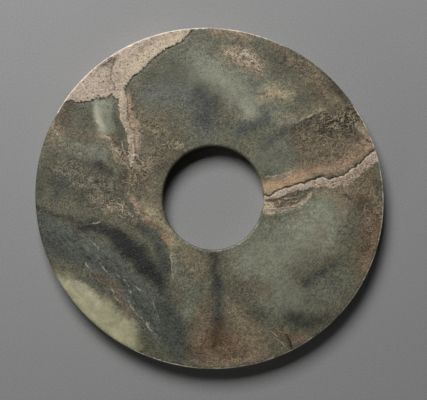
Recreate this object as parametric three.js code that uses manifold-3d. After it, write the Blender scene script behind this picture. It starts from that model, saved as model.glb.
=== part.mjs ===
// A plain jade bi disc: one flat ring of stone, ground level on both faces, with a round hole that was
// drilled from both sides. It lies on its lower face. Millimetres, +Z up, with the origin under the middle
// of the disc. The outline and the hole are each a little longer one way than the other, and the hole sits
// a little off centre.
//
// The upper face carries what the stone's age has left there: a pale calcified crust by the rim that runs
// down into a tapering vein, a crack from the hole to the rim, and a flaked hollow at the hole's edge.
import * as THREE from "three";
import { mergeVertices } from "three/addons/utils/BufferGeometryUtils.js";
import Module from "manifold-3d";

// The disc
const DISC_DIAMETER = 180; // the mean of its longest and shortest diameters
const DISC_OVALITY = 2.7; // the longest diameter is longer than the mean by this
const LONG_DIAMETER_TURN = -23; // degrees from +X
const THICKNESS = 12;
const RIM_ARRIS = 1.1; // radius of the worn edge round the outside, above and below

// The hole
const HOLE_DIAMETER = 54.2; // at either face, the mean of its longest and shortest diameters
const HOLE_OVALITY = 0.9; // its longest diameter, which runs along Y, is longer than the mean by this
const HOLE_SHIFT_X = 1.9;
const HOLE_SHIFT_Y = 0.2;
const HOLE_ARRIS = 0.6;
const WAIST_DEPTH = 0.3; // the drillings narrow by this on the radius, to the ridge where they meet
const DEEPER_FROM_ABOVE = 1.6; // the drilling from above is this much deeper than the one from below

// What age has left on the upper face
const CRUST_RISE = 0.3;
const CRACK_WIDTH = 0.6;
const CRACK_DEPTH = 0.7;
const HOLLOW_DEPTH = 0.6;

// Places on the ring are [degrees from +X, share of the way from the hole's edge to the rim].
// The lower edge of the crust, from the rim at the left, round the vein and on to the rim at the top.
const CRUST_EDGE = [
  [147, 1], [143, 0.86], [139, 0.81], [133, 0.75], [133, 0.68],
  [139, 0.56], [147, 0.41], [156, 0.31], [155, 0.28], [146, 0.34],
  [138, 0.43], [131, 0.64], [128, 0.71], [122, 0.76], [112, 0.82],
  [102, 0.89], [95, 1],
];
// The crack, from past the hole's edge to past the rim.
const CRACK_LINE = [
  [3, -0.04], [2, 0.05], [8, 0.19], [11, 0.51], [9, 0.56], [10, 0.68], [13, 0.81], [16, 1.04],
];
// The flaked hollow under the crack, which is open to the hole.
const HOLLOW_EDGE = [
  [355, 0.09], [1, 0.17], [5, 0.26], [5, 0.38], [0, 0.38], [352, 0.27], [348, 0.17], [343, -0.04], [350, -0.04],
];

const AROUND = 120; // facets round the disc
const ARRIS_STEPS = 3;
const RIM_STEPS = 16; // steps of the crust's cutter past the rim
const CLEAR = 2; // how far a cutter stands clear of the stone

const wasm = await Module();
wasm.setup();

function solidOf(geometry) {
  geometry.deleteAttribute("normal");
  geometry.deleteAttribute("uv");
  const merged = mergeVertices(geometry);
  return new wasm.Manifold(
    new wasm.Mesh({
      numProp: 3,
      vertProperties: merged.attributes.position.array,
      triVerts: new Uint32Array(merged.index.array),
    }),
  );
}

function geometryOf(solid) {
  const mesh = solid.getMesh();
  const geometry = new THREE.BufferGeometry();
  geometry.setAttribute("position", new THREE.BufferAttribute(mesh.vertProperties, mesh.numProp));
  geometry.setIndex(new THREE.BufferAttribute(mesh.triVerts, 1));
  geometry.computeVertexNormals();
  return geometry;
}

// The point of the rim, moved in by inset, in the direction angle (radians).
function rimPoint(angle, inset = 0) {
  const turn = angle - THREE.MathUtils.degToRad(LONG_DIAMETER_TURN);
  const radius = (DISC_DIAMETER + DISC_OVALITY * Math.cos(2 * turn)) / 2 - inset;
  return new THREE.Vector2(Math.cos(angle), Math.sin(angle)).multiplyScalar(radius);
}

// The point of the hole's edge, moved out into the stone by inset.
function holePoint(angle, inset = 0) {
  const radius = (HOLE_DIAMETER - HOLE_OVALITY * Math.cos(2 * angle)) / 2 + inset;
  return new THREE.Vector2(Math.cos(angle), Math.sin(angle))
    .multiplyScalar(radius)
    .add(new THREE.Vector2(HOLE_SHIFT_X, HOLE_SHIFT_Y));
}

function ringPoint([degrees, share]) {
  const angle = THREE.MathUtils.degToRad(degrees);
  return holePoint(angle).lerp(rimPoint(angle), share);
}

// A worn edge as [inset, height] pairs, from the wall's end to the face's start.
function arris(radius) {
  return Array.from({ length: ARRIS_STEPS + 1 }, (_, step) => {
    const turn = (step / ARRIS_STEPS) * (Math.PI / 2);
    return [radius * (1 - Math.cos(turn)), radius * (1 - Math.sin(turn))];
  });
}

// The ring of stone up to a height, as closed loops round the disc: up the rim, over to the hole, down the
// hole past its waist and back underneath.
function ringSolid(height) {
  const rim = arris(RIM_ARRIS);
  const hole = arris(HOLE_ARRIS);
  const ridge = (THICKNESS - DEEPER_FROM_ABOVE) / 2;
  const loops = [
    ...rim.toReversed().map(([inset, drop]) => [rimPoint, inset, drop]),
    ...rim.map(([inset, drop]) => [rimPoint, inset, height - drop]),
    ...hole.toReversed().map(([inset, drop]) => [holePoint, inset, height - drop]),
    [holePoint, -WAIST_DEPTH, ridge],
    ...hole.map(([inset, drop]) => [holePoint, inset, drop]),
  ];
  const positions = [];
  const index = [];
  loops.forEach(([pointAt, inset, z], loop) => {
    const next = (loop + 1) % loops.length;
    for (let i = 0; i < AROUND; i++) {
      const point = pointAt((i / AROUND) * 2 * Math.PI, inset);
      positions.push(point.x, point.y, z);
      const beside = (i + 1) % AROUND;
      const [a, b] = [loop * AROUND + i, loop * AROUND + beside];
      const [c, d] = [next * AROUND + beside, next * AROUND + i];
      index.push(a, b, c, a, c, d);
    }
  });
  const geometry = new THREE.BufferGeometry();
  geometry.setAttribute("position", new THREE.Float32BufferAttribute(positions, 3));
  geometry.setIndex(index);
  return solidOf(geometry);
}

// An upright prism over an outline, from one height to another.
function prism(outline, from, to) {
  const geometry = new THREE.ExtrudeGeometry(new THREE.Shape(outline), {
    depth: to - from,
    bevelEnabled: false,
  });
  geometry.translate(0, 0, from);
  return solidOf(geometry);
}

// The crust is the same ring, a little higher, kept only inside the crust's edge.
function crustSolid() {
  const first = CRUST_EDGE.at(-1);
  const last = CRUST_EDGE[0];
  const beyondRim = Array.from({ length: RIM_STEPS + 1 }, (_, step) => {
    const degrees = THREE.MathUtils.lerp(first[0], last[0], step / RIM_STEPS);
    return rimPoint(THREE.MathUtils.degToRad(degrees), -CLEAR);
  });
  const outline = [...CRUST_EDGE.map(ringPoint), ...beyondRim];
  const inTheStone = THICKNESS - RIM_ARRIS - CRUST_RISE;
  return ringSolid(THICKNESS + CRUST_RISE).intersect(prism(outline, inTheStone, THICKNESS + CLEAR));
}

// A narrow upright-sided groove along the crack.
function crackSolid() {
  const line = CRACK_LINE.map(ringPoint);
  const sideways = line.map((_, i) => {
    const before = line[Math.max(i - 1, 0)];
    const after = line[Math.min(i + 1, line.length - 1)];
    const along = after.clone().sub(before).normalize();
    return new THREE.Vector2(-along.y, along.x).multiplyScalar(CRACK_WIDTH / 2);
  });
  const upper = line.map((point, i) => point.clone().add(sideways[i]));
  const lower = line.map((point, i) => point.clone().sub(sideways[i]));
  return prism([...lower, ...upper.reverse()], THICKNESS - CRACK_DEPTH, THICKNESS + CLEAR);
}

function hollowSolid() {
  return prism(HOLLOW_EDGE.map(ringPoint), THICKNESS - HOLLOW_DEPTH, THICKNESS + CLEAR);
}

function jadeDisc() {
  const solid = ringSolid(THICKNESS).add(crustSolid()).subtract(crackSolid()).subtract(hollowSolid());
  const jade = new THREE.MeshStandardMaterial({ color: 0x6f7464, roughness: 0.5, metalness: 0 });
  const mesh = new THREE.Mesh(geometryOf(solid), jade);
  mesh.name = "jade_disc";
  return mesh;
}

const disc = new THREE.Group();
disc.add(jadeDisc());
export default disc;
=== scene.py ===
# The looks of a weathered jade bi disc, made in this order: the ring, the relief that age has left on it,
# its colours, the stone's finish, and last the floor, the light and the camera.
# Places on the disc are millimetres from its middle; Blender's own lengths are metres.
import math

import bpy
import numpy as np
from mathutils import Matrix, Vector


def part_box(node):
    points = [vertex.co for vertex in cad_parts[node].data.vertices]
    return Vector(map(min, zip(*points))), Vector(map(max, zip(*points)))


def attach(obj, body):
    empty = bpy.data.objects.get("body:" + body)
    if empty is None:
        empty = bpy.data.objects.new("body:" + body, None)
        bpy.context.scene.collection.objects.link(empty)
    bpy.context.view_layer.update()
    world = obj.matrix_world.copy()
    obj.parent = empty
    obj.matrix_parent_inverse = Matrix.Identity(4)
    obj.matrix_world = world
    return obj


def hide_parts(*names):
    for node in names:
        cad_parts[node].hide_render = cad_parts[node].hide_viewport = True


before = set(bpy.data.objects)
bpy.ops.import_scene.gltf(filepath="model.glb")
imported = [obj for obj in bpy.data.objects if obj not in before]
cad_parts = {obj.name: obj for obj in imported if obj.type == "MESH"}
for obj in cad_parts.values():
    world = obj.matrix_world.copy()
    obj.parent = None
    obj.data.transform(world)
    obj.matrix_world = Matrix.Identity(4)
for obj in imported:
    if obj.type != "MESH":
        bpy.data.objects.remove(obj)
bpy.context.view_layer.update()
MM = 0.001

# The ring's sizes, in mm. The long and short diameters and the height come from the frame.
DISC = "jade_disc"
LONG_DIAMETER_TURN = math.radians(-23)
CRUST_RISE = 0.3
RIM_ARRIS = 1.1
HOLE_DIAMETER = 54.2
HOLE_OVALITY = 0.9
HOLE_SHIFT = (1.9, 0.2)
HOLE_ARRIS = 0.6
WAIST_DEPTH = 0.3
DEEPER_FROM_ABOVE = 1.6
disc_low, disc_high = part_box(DISC)
BOX_X, BOX_Y, BOX_Z = ((high - low) / MM for low, high in zip(disc_low, disc_high))
DISC_DIAMETER = (BOX_X + BOX_Y) / 2
DISC_OVALITY = (BOX_X - BOX_Y) / 2 / math.cos(2 * LONG_DIAMETER_TURN)
THICKNESS = BOX_Z - CRUST_RISE
RIDGE_HEIGHT = (THICKNESS - DEEPER_FROM_ABOVE) / 2

# The mesh: points round the ring, and rows over each stretch of its section
MESH_COUNTS = {
    "Around": 800,
    "Rim Wall Rows": 3,
    "Rim Arris Rows": 3,
    "Face Rows": 94,
    "Hole Arris Rows": 3,
    "Hole Wall Rows": 2,
    "Lower Arris Rows": 2,
    "Underside Rows": 12,
}
SEAM_GAP = 0.01  # points nearer than this, in mm, are joined where the ring closes

# Lines and outlines on the upper face
CRUST_OUTLINE = [
    (-84, 46), (-75.7, 49.9), (-73.1, 51.4), (-65.2, 49.7), (-59.4, 51.9), (-54.6, 51.9), (-50.7, 54.6),
    (-47.9, 51.4), (-47.4, 46), (-46.6, 41.2), (-44.6, 37.4), (-43.5, 34), (-42.4, 30), (-41.9, 25.4),
    (-41.6, 20), (-41, 16.6), (-39.6, 18.5), (-38.9, 23), (-39.4, 27), (-38.8, 30.4), (-39.6, 34.6),
    (-41.8, 38.6), (-42.6, 42), (-42.8, 46), (-43.2, 51.2), (-44.1, 57), (-42.9, 60.1), (-39, 64),
    (-34.1, 68.4), (-29.3, 73.3), (-22.9, 77.2), (-17.1, 80.8), (-12.2, 84.5), (-8.3, 87.9), (-8, 100),
    (-70, 100), (-100, 60),
]
CRACK = [
    (24, 2), (28.4, 1.8), (32.2, 1.5), (35, 3.6), (40.1, 5.7), (50.9, 8.8), (59.4, 11.6), (62.6, 10.4),
    (69.9, 12.1), (76.7, 17.2), (82.3, 22.4), (86.6, 25.2), (92, 28.4),
]
# The pale band along the crack's lower side, as x, y and half-width
PALE_BAND = [
    (27, -0.4, 1.7), (35, 1.5, 1.5), (40.5, 3.8, 1.4), (51, 6.5, 2), (59, 8.9, 2.6), (63, 7.9, 2.5),
    (70, 9.2, 2.9), (77, 13.9, 3), (83, 18.7, 3), (90, 23.5, 2.6),
]
HOLLOW_OUTLINE = [
    (26, -2), (34.7, -1), (39.3, 1.7), (44, 3.8), (51.9, 4.8), (53.4, 2.8), (49.8, -1.4),
    (45.6, -5.6), (38.8, -7.4), (32.6, -8.2), (24, -8.4),
]

# Thin pale veins, thin dark ones, and the half-width of each kind
PALE_VEINS = [
    [(-58, 33.5), (-55, 32), (-52, 31.5), (-50.5, 28.5), (-51, 25), (-49.5, 22), (-48.5, 19.5), (-46, 18),
     (-43, 17.5), (-42, 14), (-41.5, 10), (-40, 5)],
    [(-52, 27), (-49, 25), (-47, 21.5)],
    [(-46, 29), (-44.5, 25), (-42.5, 21)],
    [(-62, -13.5), (-59, -13), (-56.5, -12)],
    [(-60, -24), (-58, -26.5)],
    [(-64.5, -34), (-62.5, -36.5)],
    [(-57, -34.5), (-53, -38.5)],
    [(-48, -40), (-45, -42.5), (-42, -46), (-41, -49)],
    [(-38, -46.5), (-36.5, -47.5)],
    [(-51, -47), (-49.5, -50), (-48, -53), (-46, -55)],
    [(-42, -53), (-41.5, -56), (-39, -59), (-35.5, -62.5), (-32, -65)],
    [(-33, -64), (-31, -69), (-28, -71)],
    [(-29.5, -54), (-28.5, -57)],
    [(-27, -61), (-26, -63)],
    [(-20, -29), (-19.7, -35), (-19, -41)],
    [(33, -69.5), (36, -73), (38.5, -76.5)],
    [(47, 41), (51, 42.3), (55, 43.8), (59, 46.5)],
    [(30, 10.5), (36, 12), (44, 14)],
    [(78, 29), (84, 33), (86, 36)],
]
DARK_VEINS = [
    [(44, 38), (49, 40), (54, 42.4), (60, 45)],
    [(40, -71), (42.5, -77)],
    [(81, 30.5), (85, 28.5)],
    [(-49.5, 73.4), (-50.8, 69), (-51.6, 64), (-50.2, 60), (-49, 57)],
    [(-57, 68.6), (-54, 70.4), (-51, 73.4)],
]
VEIN_HALF = 0.32
# Where short curling threads stand out one by one: how many, their middle, their spread to each side and up,
# the way they mostly run in degrees, and their length in steps of a millimetre
CURL_PLACES = [
    (36, (-42, 17), (4.5, 4), 60, 4),
    (10, (-50, 26), (2, 2.6), -50, 4),
    (10, (-42, 8), (3, 3), 80, 3),
    (16, (-32, 18), (4, 2.2), 15, 4),
    (16, (-30, 37), (4, 3.4), 30, 3),
    (12, (-20, 27), (5, 1.6), 10, 4),
    (36, (-50, -4), (6, 3), -30, 2),
    (8, (-36, -2), (2, 3), -60, 2),
    (26, (-72, 12), (8, 5), 0, 1),
    (7, (-81, 35), (2, 3), 60, 1),
    (34, (17, 75), (7, 3.4), -20, 1),
    (16, (35, 55), (4, 2), 20, 2),
    (30, (66, 40), (8, 6), 30, 2),
    (20, (72, 24), (9, 3), 28, 3),
    (22, (82, -4), (4, 9), 70, 2),
    (18, (12, -84), (10, 2.4), 20, 2),
]
CRUST_CURLS = [
    [(-68, 60.5), (-65.5, 58.5), (-64.4, 56), (-62.4, 54.6), (-61, 52.5)],
    [(-66.5, 57.6), (-65.3, 59.6), (-63.6, 60.8)],
    [(-43.6, 66), (-41.4, 68.6), (-38.6, 70.4), (-37, 73)],
]

# Colours that the stone shows, as red, green and blue from 0 to 255
STONE_COLOURS = {
    "olive": (91, 89, 74),
    "moss": (72, 72, 58),
    "lichen": (102, 104, 92),
    "sage": (122, 122, 108),
    "pale green": (140, 140, 124),
    "celadon": (158, 154, 127),
    "milk": (178, 174, 152),
    "bone": (206, 194, 176),
    "chalk": (236, 226, 208),
    "lead": (86, 89, 84),
    "teal": (74, 78, 72),
    "slate": (60, 62, 58),
    "ink": (35, 36, 35),
    "brown": (96, 85, 69),
    "bark": (60, 48, 36),
    "earth": (106, 90, 74),
    "tan": (130, 116, 95),
    "fawn": (148, 125, 105),
    "rust": (122, 92, 64),
    "cream": (182, 166, 145),
    "putty": (162, 145, 128),
    "sand": (180, 165, 140),
    "straw": (152, 142, 114),
    "dirt": (108, 99, 84),
    "umber": (48, 40, 30),
    "apricot": (170, 143, 114),
    "steel": (72, 76, 72),
    "gold": (140, 130, 103),
}

# Strokes on the stone: each has a strength, a softness, and x, y and half-width at its points.
# Where the polish is smooth and hardly grained
CALM_STROKES = [
    (1, 5, [(-79, -43, 5), (-62, -56, 7), (-46, -69, 7), (-41, -75, 5)]),
    (0.7, 9, [(24, -30, 8), (40, -26, 11), (56, -18, 10), (62, -6, 6)]),
    (0.6, 9, [(34, -46, 8), (46, -54, 8)]),
    (0.75, 8, [(-20, 62, 6), (2, 62, 8), (16, 56, 7), (24, 46, 5)]),
    (0.7, 6, [(28, 24, 5), (38, 20, 5)]),
    (1, 3, [(-58, 46, 3), (-55, 40, 4)]),
    (0.5, 6, [(30, 8, 3), (46, 12, 3), (60, 14, 3)]),
]
# Where the edges are painted pale, partly as wear and partly as a painted highlight
WEAR_AND_HIGHLIGHT_STROKES = [
    (1, 5, [(-80, 44, 5), (-66, 63, 5), (-46, 78, 5), (-24, 87, 5), (-6, 90, 4)]),
    (0.85, 6, [(-6, 90, 8), (20, 87, 8), (36, 82, 6)]),
    (1, 5, [(78, 44, 8), (86, 28, 8), (91, 8, 8), (89, -16, 8), (82, -38, 8)]),
    (0.9, 6, [(82, -38, 8), (66, -62, 8), (40, -80, 8), (12, -89, 8), (-20, -88, 8), (-34, -83, 6)]),
    (0.8, 5, [(-12, -24, 8), (2, -28, 8), (18, -23, 8), (26, -14, 8)]),
]
# Where dark and pale streaks rise to the right, and where they fall to the right
RISING_STREAKS = [
    (1, 10, [(40, 32, 5), (60, 40, 12), (76, 44, 10)]),
    (0.8, 6, [(34, 10, 3), (60, 18, 5), (82, 26, 4)]),
    (0.9, 7, [(-36, 36, 5), (-18, 30, 6)]),
    (0.4, 9, [(50, -42, 6), (66, -34, 5)]),
]
FALLING_STREAKS = [
    (1, 10, [(-76, -22, 8), (-56, -34, 9), (-40, -50, 9), (-30, -66, 8)]),
    (0.5, 8, [(-42, 0, 4), (-30, -16, 4), (-20, -34, 4)]),
]
# How bright the light leaves a white surface at the disc's middle, so that a colour comes out as named
LIT_WHITE = 0.66
# Strokes of colour in the stone, with the colour's name first
STONE_STROKES = [
    # broad runs of colour
    ("lichen", 0.8, 9, [(-8, 72, 8), (6, 66, 9), (20, 58, 9), (30, 48, 7)]),
    ("sage", 0.9, 7, [(-2, 68, 5), (8, 62, 7), (18, 54, 7), (22, 46, 5)]),
    ("moss", 0.7, 7, [(-34, 66, 5), (-24, 62, 6), (-18, 70, 5)]),
    ("lead", 0.7, 7, [(-30, 54, 5), (-14, 56, 7), (-4, 48, 6), (-2, 36, 5)]),
    ("slate", 0.95, 6, [(-5, 55, 4.5), (1, 48, 5), (-2, 40, 3.5)]),
    ("brown", 0.5, 7, [(-38, 46, 3), (-34, 36, 5), (-26, 40, 5), (-22, 34, 4)]),
    ("bark", 0.6, 5, [(-20, 22, 4), (-24, 16, 4)]),
    ("sage", 1, 9, [(24, -30, 9), (38, -24, 12), (55, -14, 12), (62, -4, 7)]),
    ("sage", 0.8, 9, [(24, -34, 8), (34, -44, 8), (40, -55, 8)]),
    ("lichen", 0.6, 8, [(24, -66, 5), (44, -52, 8), (60, -48, 8), (70, -42, 6)]),
    ("lichen", 0.8, 6, [(28, 24, 5), (40, 18, 6), (36, 30, 5)]),
    ("steel", 0.85, 9, [(-82, -20, 8), (-62, -30, 10), (-48, -42, 10), (-34, -56, 9), (-20, -72, 9)]),
    ("moss", 1, 9, [(-82, 14, 7), (-66, 8, 9), (-54, 2, 9), (-44, -4, 6)]),
    ("teal", 0.6, 7, [(-28, -54, 6), (-20, -68, 7), (-14, -82, 6)]),
    ("earth", 0.85, 11, [(4, -62, 4), (6, -76, 9), (18, -76, 7), (-4, -80, 5)]),
    ("brown", 0.7, 8, [(16, -62, 4), (24, -70, 6), (30, -78, 4)]),
    ("bark", 0.7, 7, [(3, -72, 5), (10, -78, 6)]),
    ("rust", 0.35, 6, [(2, -76, 5), (14, -78, 6)]),
    ("earth", 0.6, 6, [(-4, -54, 3), (-6, -68, 4), (-4, -82, 4)]),
    ("brown", 1, 7, [(72, 4, 5), (81, 0, 7), (84, -12, 6), (82, -26, 5), (80, -38, 4)]),
    ("brown", 0.8, 8, [(34, 79, 4), (50, 70, 7), (60, 58, 8), (68, 48, 8)]),
    ("brown", 0.9, 7, [(50, 32, 6), (64, 33, 8), (74, 32, 6)]),
    # the left side, from the rim to the vein
    ("brown", 0.95, 5, [(-75, 48, 3), (-78, 40, 4)]),
    ("bark", 0.75, 5, [(-74, 47, 3), (-77, 41, 3)]),
    ("moss", 0.7, 4, [(-68, 46, 3), (-64, 40, 3)]),
    ("sage", 0.9, 3.5, [(-54, 48, 3), (-53, 38, 3)]),
    ("pale green", 0.98, 2.6, [(-58.5, 50, 2), (-58, 43, 3), (-57, 36, 2.2)]),
    ("milk", 0.6, 2, [(-59, 47, 0.8), (-58.4, 42, 1.3), (-57.6, 38, 1)]),
    ("moss", 0.85, 2.2, [(-49.5, 47, 0.8), (-49, 38, 1.4), (-47, 33, 1.6)]),
    ("moss", 0.6, 1.6, [(-62.4, 49, 0.7), (-62.2, 38, 0.8)]),
    ("tan", 0.85, 3, [(-58, 33, 1.8), (-53, 31, 1.6), (-52, 26, 1.5)]),
    ("tan", 0.75, 4, [(-83, 36, 2), (-80, 32, 3), (-84, 28, 2)]),
    ("brown", 0.5, 4, [(-72, 34, 3), (-64, 32, 3)]),
    ("lichen", 0.85, 4, [(-78, 27, 3), (-68, 24, 3.5), (-58, 25, 4), (-54, 21, 3)]),
    ("slate", 0.7, 3.5, [(-74, 21, 1.8), (-66, 18, 2), (-58, 18, 2)]),
    ("ink", 0.8, 3.5, [(-58, 17, 2), (-53, 13, 2.5)]),
    ("slate", 0.8, 4, [(-82, 10, 2.5), (-76, 7, 3), (-80, 2, 2)]),
    ("umber", 0.85, 5, [(-50, 30, 2.4), (-46, 22, 4), (-40, 17, 4), (-36, 12, 4), (-44, 10, 3)]),
    ("fawn", 0.95, 2.4, [(-41.4, 54, 1.2), (-41, 45, 2), (-39.4, 36, 2.2), (-38, 27, 2)]),
    ("rust", 0.6, 1.6, [(-40.4, 52, 0.6), (-40.2, 46, 0.9), (-39.4, 40, 0.8)]),
    ("bark", 0.5, 2.4, [(-41.6, 59, 0.8), (-38.6, 52, 1), (-37.4, 44, 1)]),
    ("brown", 0.8, 5, [(-22, 22, 3), (-34, 20, 3), (-33, 10, 3), (-29, 4, 2.4), (-28, -4, 2)]),
    ("moss", 0.5, 5, [(-26, 24, 3), (-18, 26, 3)]),
    ("tan", 0.4, 4, [(-29, 8, 1.6), (-28, -4, 1.6)]),
    ("moss", 0.7, 4, [(-88, 14, 2), (-88, 4, 3), (-87, -2, 2)]),
    ("slate", 0.3, 5, [(-74, 12, 3), (-68, 6, 3), (-58, 6, 4)]),
    # the dark bands and the pale lens at the lower left
    ("ink", 0.85, 2.4, [(-90, -5.5, 0.8), (-82, -8.5, 1.1), (-74, -11, 1.3), (-68, -15, 1.4)]),
    ("bark", 0.35, 3, [(-80, -13, 1.6), (-72, -15, 2), (-66, -17, 1.6)]),
    ("steel", 0.9, 4, [(-87, -11, 2.6), (-80, -14, 2.4), (-74, -18, 1.8)]),
    ("slate", 1, 5, [(-87, -19, 3), (-81, -25, 4), (-74, -31, 3)]),
    ("lead", 0.4, 4.5, [(-72, -21, 2), (-64, -25, 3), (-58, -29, 3)]),
    ("ink", 1, 4, [(-68, -16, 1.6), (-58, -15, 2.6), (-51, -18.6, 4), (-46, -23, 5), (-41, -27.6, 4)]),
    ("ink", 1, 4, [(-41, -27.6, 4), (-35, -32, 4.2), (-30, -38, 4.8), (-26.5, -43, 3.6), (-24, -47, 2)]),
    ("ink", 0.6, 4, [(-38, -29, 2.4), (-32, -35, 2.4), (-27, -41, 2.4)]),
    ("lead", 0.6, 2.4, [(-61, -21, 1.2), (-52, -28, 1.4), (-43, -36, 1.4), (-36, -44, 1.2), (-31, -53, 1)]),
    ("slate", 0.8, 2.4,
     [(-68, -27, 1.2), (-57, -33, 1.5), (-48, -41, 1.5), (-41, -50, 1.3), (-34, -60, 1.2)]),
    ("lead", 0.5, 2.2, [(-62, -33, 0.9), (-52, -42, 1), (-45, -51, 1), (-37, -62, 0.9)]),
    ("slate", 0.6, 2.2, [(-27, -56, 1), (-25, -66, 1.2), (-21, -78, 1.2)]),
    ("slate", 0.6, 5, [(-22, -49, 3), (-21, -60, 4), (-17, -70, 5), (-13, -80, 5)]),
    ("slate", 0.85, 3.5, [(-34, -18, 3), (-30, -22, 3), (-26, -28, 3), (-24, -36, 3)]),
    ("slate", 0.8, 4, [(-41, -4, 2), (-38, -11, 2.8), (-34, -17, 3)]),
    ("olive", 0.75, 5, [(-84, -33, 2), (-78, -37, 3), (-66, -38, 3)]),
    ("earth", 0.6, 4, [(-60, -38, 2), (-54, -44, 2.6), (-48, -52, 2.4), (-43, -60, 2)]),
    ("celadon", 0.97, 4.5, [(-79, -43, 4), (-70, -49, 5), (-62, -56, 6), (-54, -63, 6.5), (-46, -69, 6)]),
    ("celadon", 0.97, 4.5, [(-46, -69, 6), (-41, -75, 4.4)]),
    ("milk", 0.8, 2.8, [(-68, -45, 1), (-62, -50.5, 2), (-58.5, -54.5, 1.6)]),
    ("moss", 0.6, 5, [(-37, -72, 2), (-30, -79, 3), (-24, -82, 3)]),
    # beside the hole, left and below
    ("fawn", 0.8, 1.8, [(-39, 1, 1.6), (-35, -4, 1.7), (-30, -11, 1.5), (-25, -18, 1.4), (-22, -25, 1.1)]),
    ("straw", 0.7, 2, [(-33, -1, 1.8), (-27, -9, 1.8), (-22, -17, 1.6)]),
    ("bark", 0.6, 1.8, [(-31, -11, 1), (-28, -14.5, 1), (-25, -18, 0.8)]),
    ("rust", 0.6, 1.6, [(-24.5, -20, 0.8), (-22.6, -25, 0.8)]),
    ("straw", 0.6, 2.5, [(-21, -18, 1.2), (-20, -24, 1.4), (-20, -29, 1)]),
    ("sage", 0.8, 1.6, [(-20, -29, 0.8), (-19.6, -36, 0.9), (-19, -41, 0.7)]),
    ("straw", 0.4, 4, [(-17, -24, 2.5), (-12, -28, 2)]),
    ("tan", 0.45, 5, [(-14, -31, 3), (-6, -36, 3.4), (-6, -40, 2.6)]),
    ("lichen", 0.7, 5, [(-13, -40, 3), (-8, -50, 3.5), (-11, -60, 3)]),
    ("ink", 0.8, 3.6, [(3, -30, 2), (2.6, -38, 2.8), (3.2, -46, 2.2)]),
    ("slate", 0.9, 3.6, [(3.2, -46, 2.2), (3.6, -56, 2.8), (3.6, -64, 2)]),
    ("bark", 0.7, 4, [(4, -66, 1.8), (5, -76, 2)]),
    # the bottom and the lower right
    ("tan", 0.5, 6, [(12, -60, 3), (18, -68, 4), (26, -76, 4)]),
    ("fawn", 0.6, 4, [(2, -87, 1.5), (12, -86, 2), (24, -83, 1.6)]),
    ("bark", 0.55, 3.5, [(14, -82, 1.6), (20, -80, 1.4)]),
    ("bark", 0.55, 4, [(-9, -80, 2), (-3, -82, 2)]),
    ("lichen", 0.5, 4, [(25, -16, 3), (33, -18, 3)]),
    ("brown", 0.5, 4.5, [(20, -44, 3), (30, -47, 3)]),
    ("pale green", 0.6, 6, [(50, -8, 4), (59, -12, 4), (66, -19, 3), (62, -24, 2.4)]),
    ("tan", 0.35, 3.5, [(56, -16, 2), (61, -20, 2)]),
    ("slate", 0.95, 3.4, [(49, -44, 1.8), (54, -40.5, 2.6), (60, -37, 1.8), (66, -33, 0.9)]),
    ("moss", 0.7, 5, [(24, -60, 3), (34, -63, 4), (44, -64, 4)]),
    ("ink", 0.72, 6, [(44, -62, 2.4), (50, -65, 4.4), (58, -64, 3.4)]),
    ("earth", 0.9, 3.5, [(34, -68, 1.8), (42, -73, 2.6), (50, -73, 2)]),
    ("bark", 0.8, 1.8, [(39.5, -72, 0.8), (42, -77, 1)]),
    ("earth", 0.7, 5, [(83, -14, 3), (85, -24, 3), (82, -36, 2.4)]),
    ("bark", 0.65, 4.5, [(76, 2, 2), (83, -6, 3), (84, -18, 2.4)]),
    ("rust", 0.5, 4, [(86, -10, 2), (86, -20, 3), (84, -30, 2)]),
    ("bark", 0.4, 5, [(83, -16, 3), (82, -26, 3)]),
    ("tan", 0.6, 4, [(66, 1, 2), (70, -3, 2)]),
    # the crack's two sides and the hollow
    ("tan", 0.85, 5, [(56, 5, 2), (66, 4, 2.4), (76, 7, 2.6), (84, 12, 2.4)]),
    ("brown", 0.85, 5, [(48, 22, 3), (62, 26, 3.6), (76, 31, 3)]),
    ("fawn", 0.98, 4,
     [(30, 7, 3), (42, 10.5, 3.6), (54, 14, 3.8), (66, 16, 3.6), (76, 21, 3.4), (85, 28, 3)]),
    ("apricot", 0.9, 3, [(29, 6.5, 2), (38, 8, 2.2), (48, 11.5, 1.8)]),
    ("rust", 0.45, 2.5, [(54, 17, 1.4), (66, 20, 1.4), (76, 26, 1.4)]),
    ("fawn", 1, 2.5, [(70, 18.5, 2), (79, 25, 2.6), (85, 31, 2.6)]),
    ("apricot", 0.35, 2.5, [(74, 21, 2), (80, 25, 2), (85, 30, 2)]),
    ("bark", 0.7, 4, [(78, 9, 1.6), (84, 13, 1.8), (88, 8, 1.4)]),
    ("earth", 0.9, 2, [(30, -4, 4), (40, -2.4, 4), (48, 1, 2.6)]),
    ("olive", 0.85, 2.6, [(39, -0.6, 1.6), (44, 1, 2.2), (49, 2.6, 1.4)]),
    ("sand", 0.95, 2.2, [(27, -3, 2.6), (30, -5, 2.8)]),
    ("cream", 0.7, 1.5, [(31, -7.4, 0.9), (38, -6.6, 1), (45, -4.2, 0.9), (50, -0.8, 0.8), (52.6, 3, 0.6)]),
    # the top and the upper right
    ("tan", 0.95, 4.5, [(8, 77, 3.4), (16, 75, 5.2), (25, 69, 4.4)]),
    ("gold", 0.6, 3, [(10, 78, 2), (17, 75, 2.6)]),
    ("fawn", 0.65, 3, [(1, 87, 1.2), (12, 86.4, 2), (22, 83.4, 1.2)]),
    ("straw", 1, 5, [(29, 53, 2.6), (35, 55.5, 4), (40, 53, 3)]),
    ("cream", 0.3, 4, [(32, 54, 2), (38, 54, 2)]),
    ("pale green", 0.7, 4, [(19, 50, 2), (23, 45, 3)]),
    ("sage", 0.8, 4, [(35, 43, 2.4), (44, 40, 2.4)]),
    ("moss", 0.85, 5, [(31, 74, 3.4), (38, 70, 4.4), (48, 68, 4)]),
    ("bark", 0.5, 5, [(54, 57, 3), (61, 54, 3)]),
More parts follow.
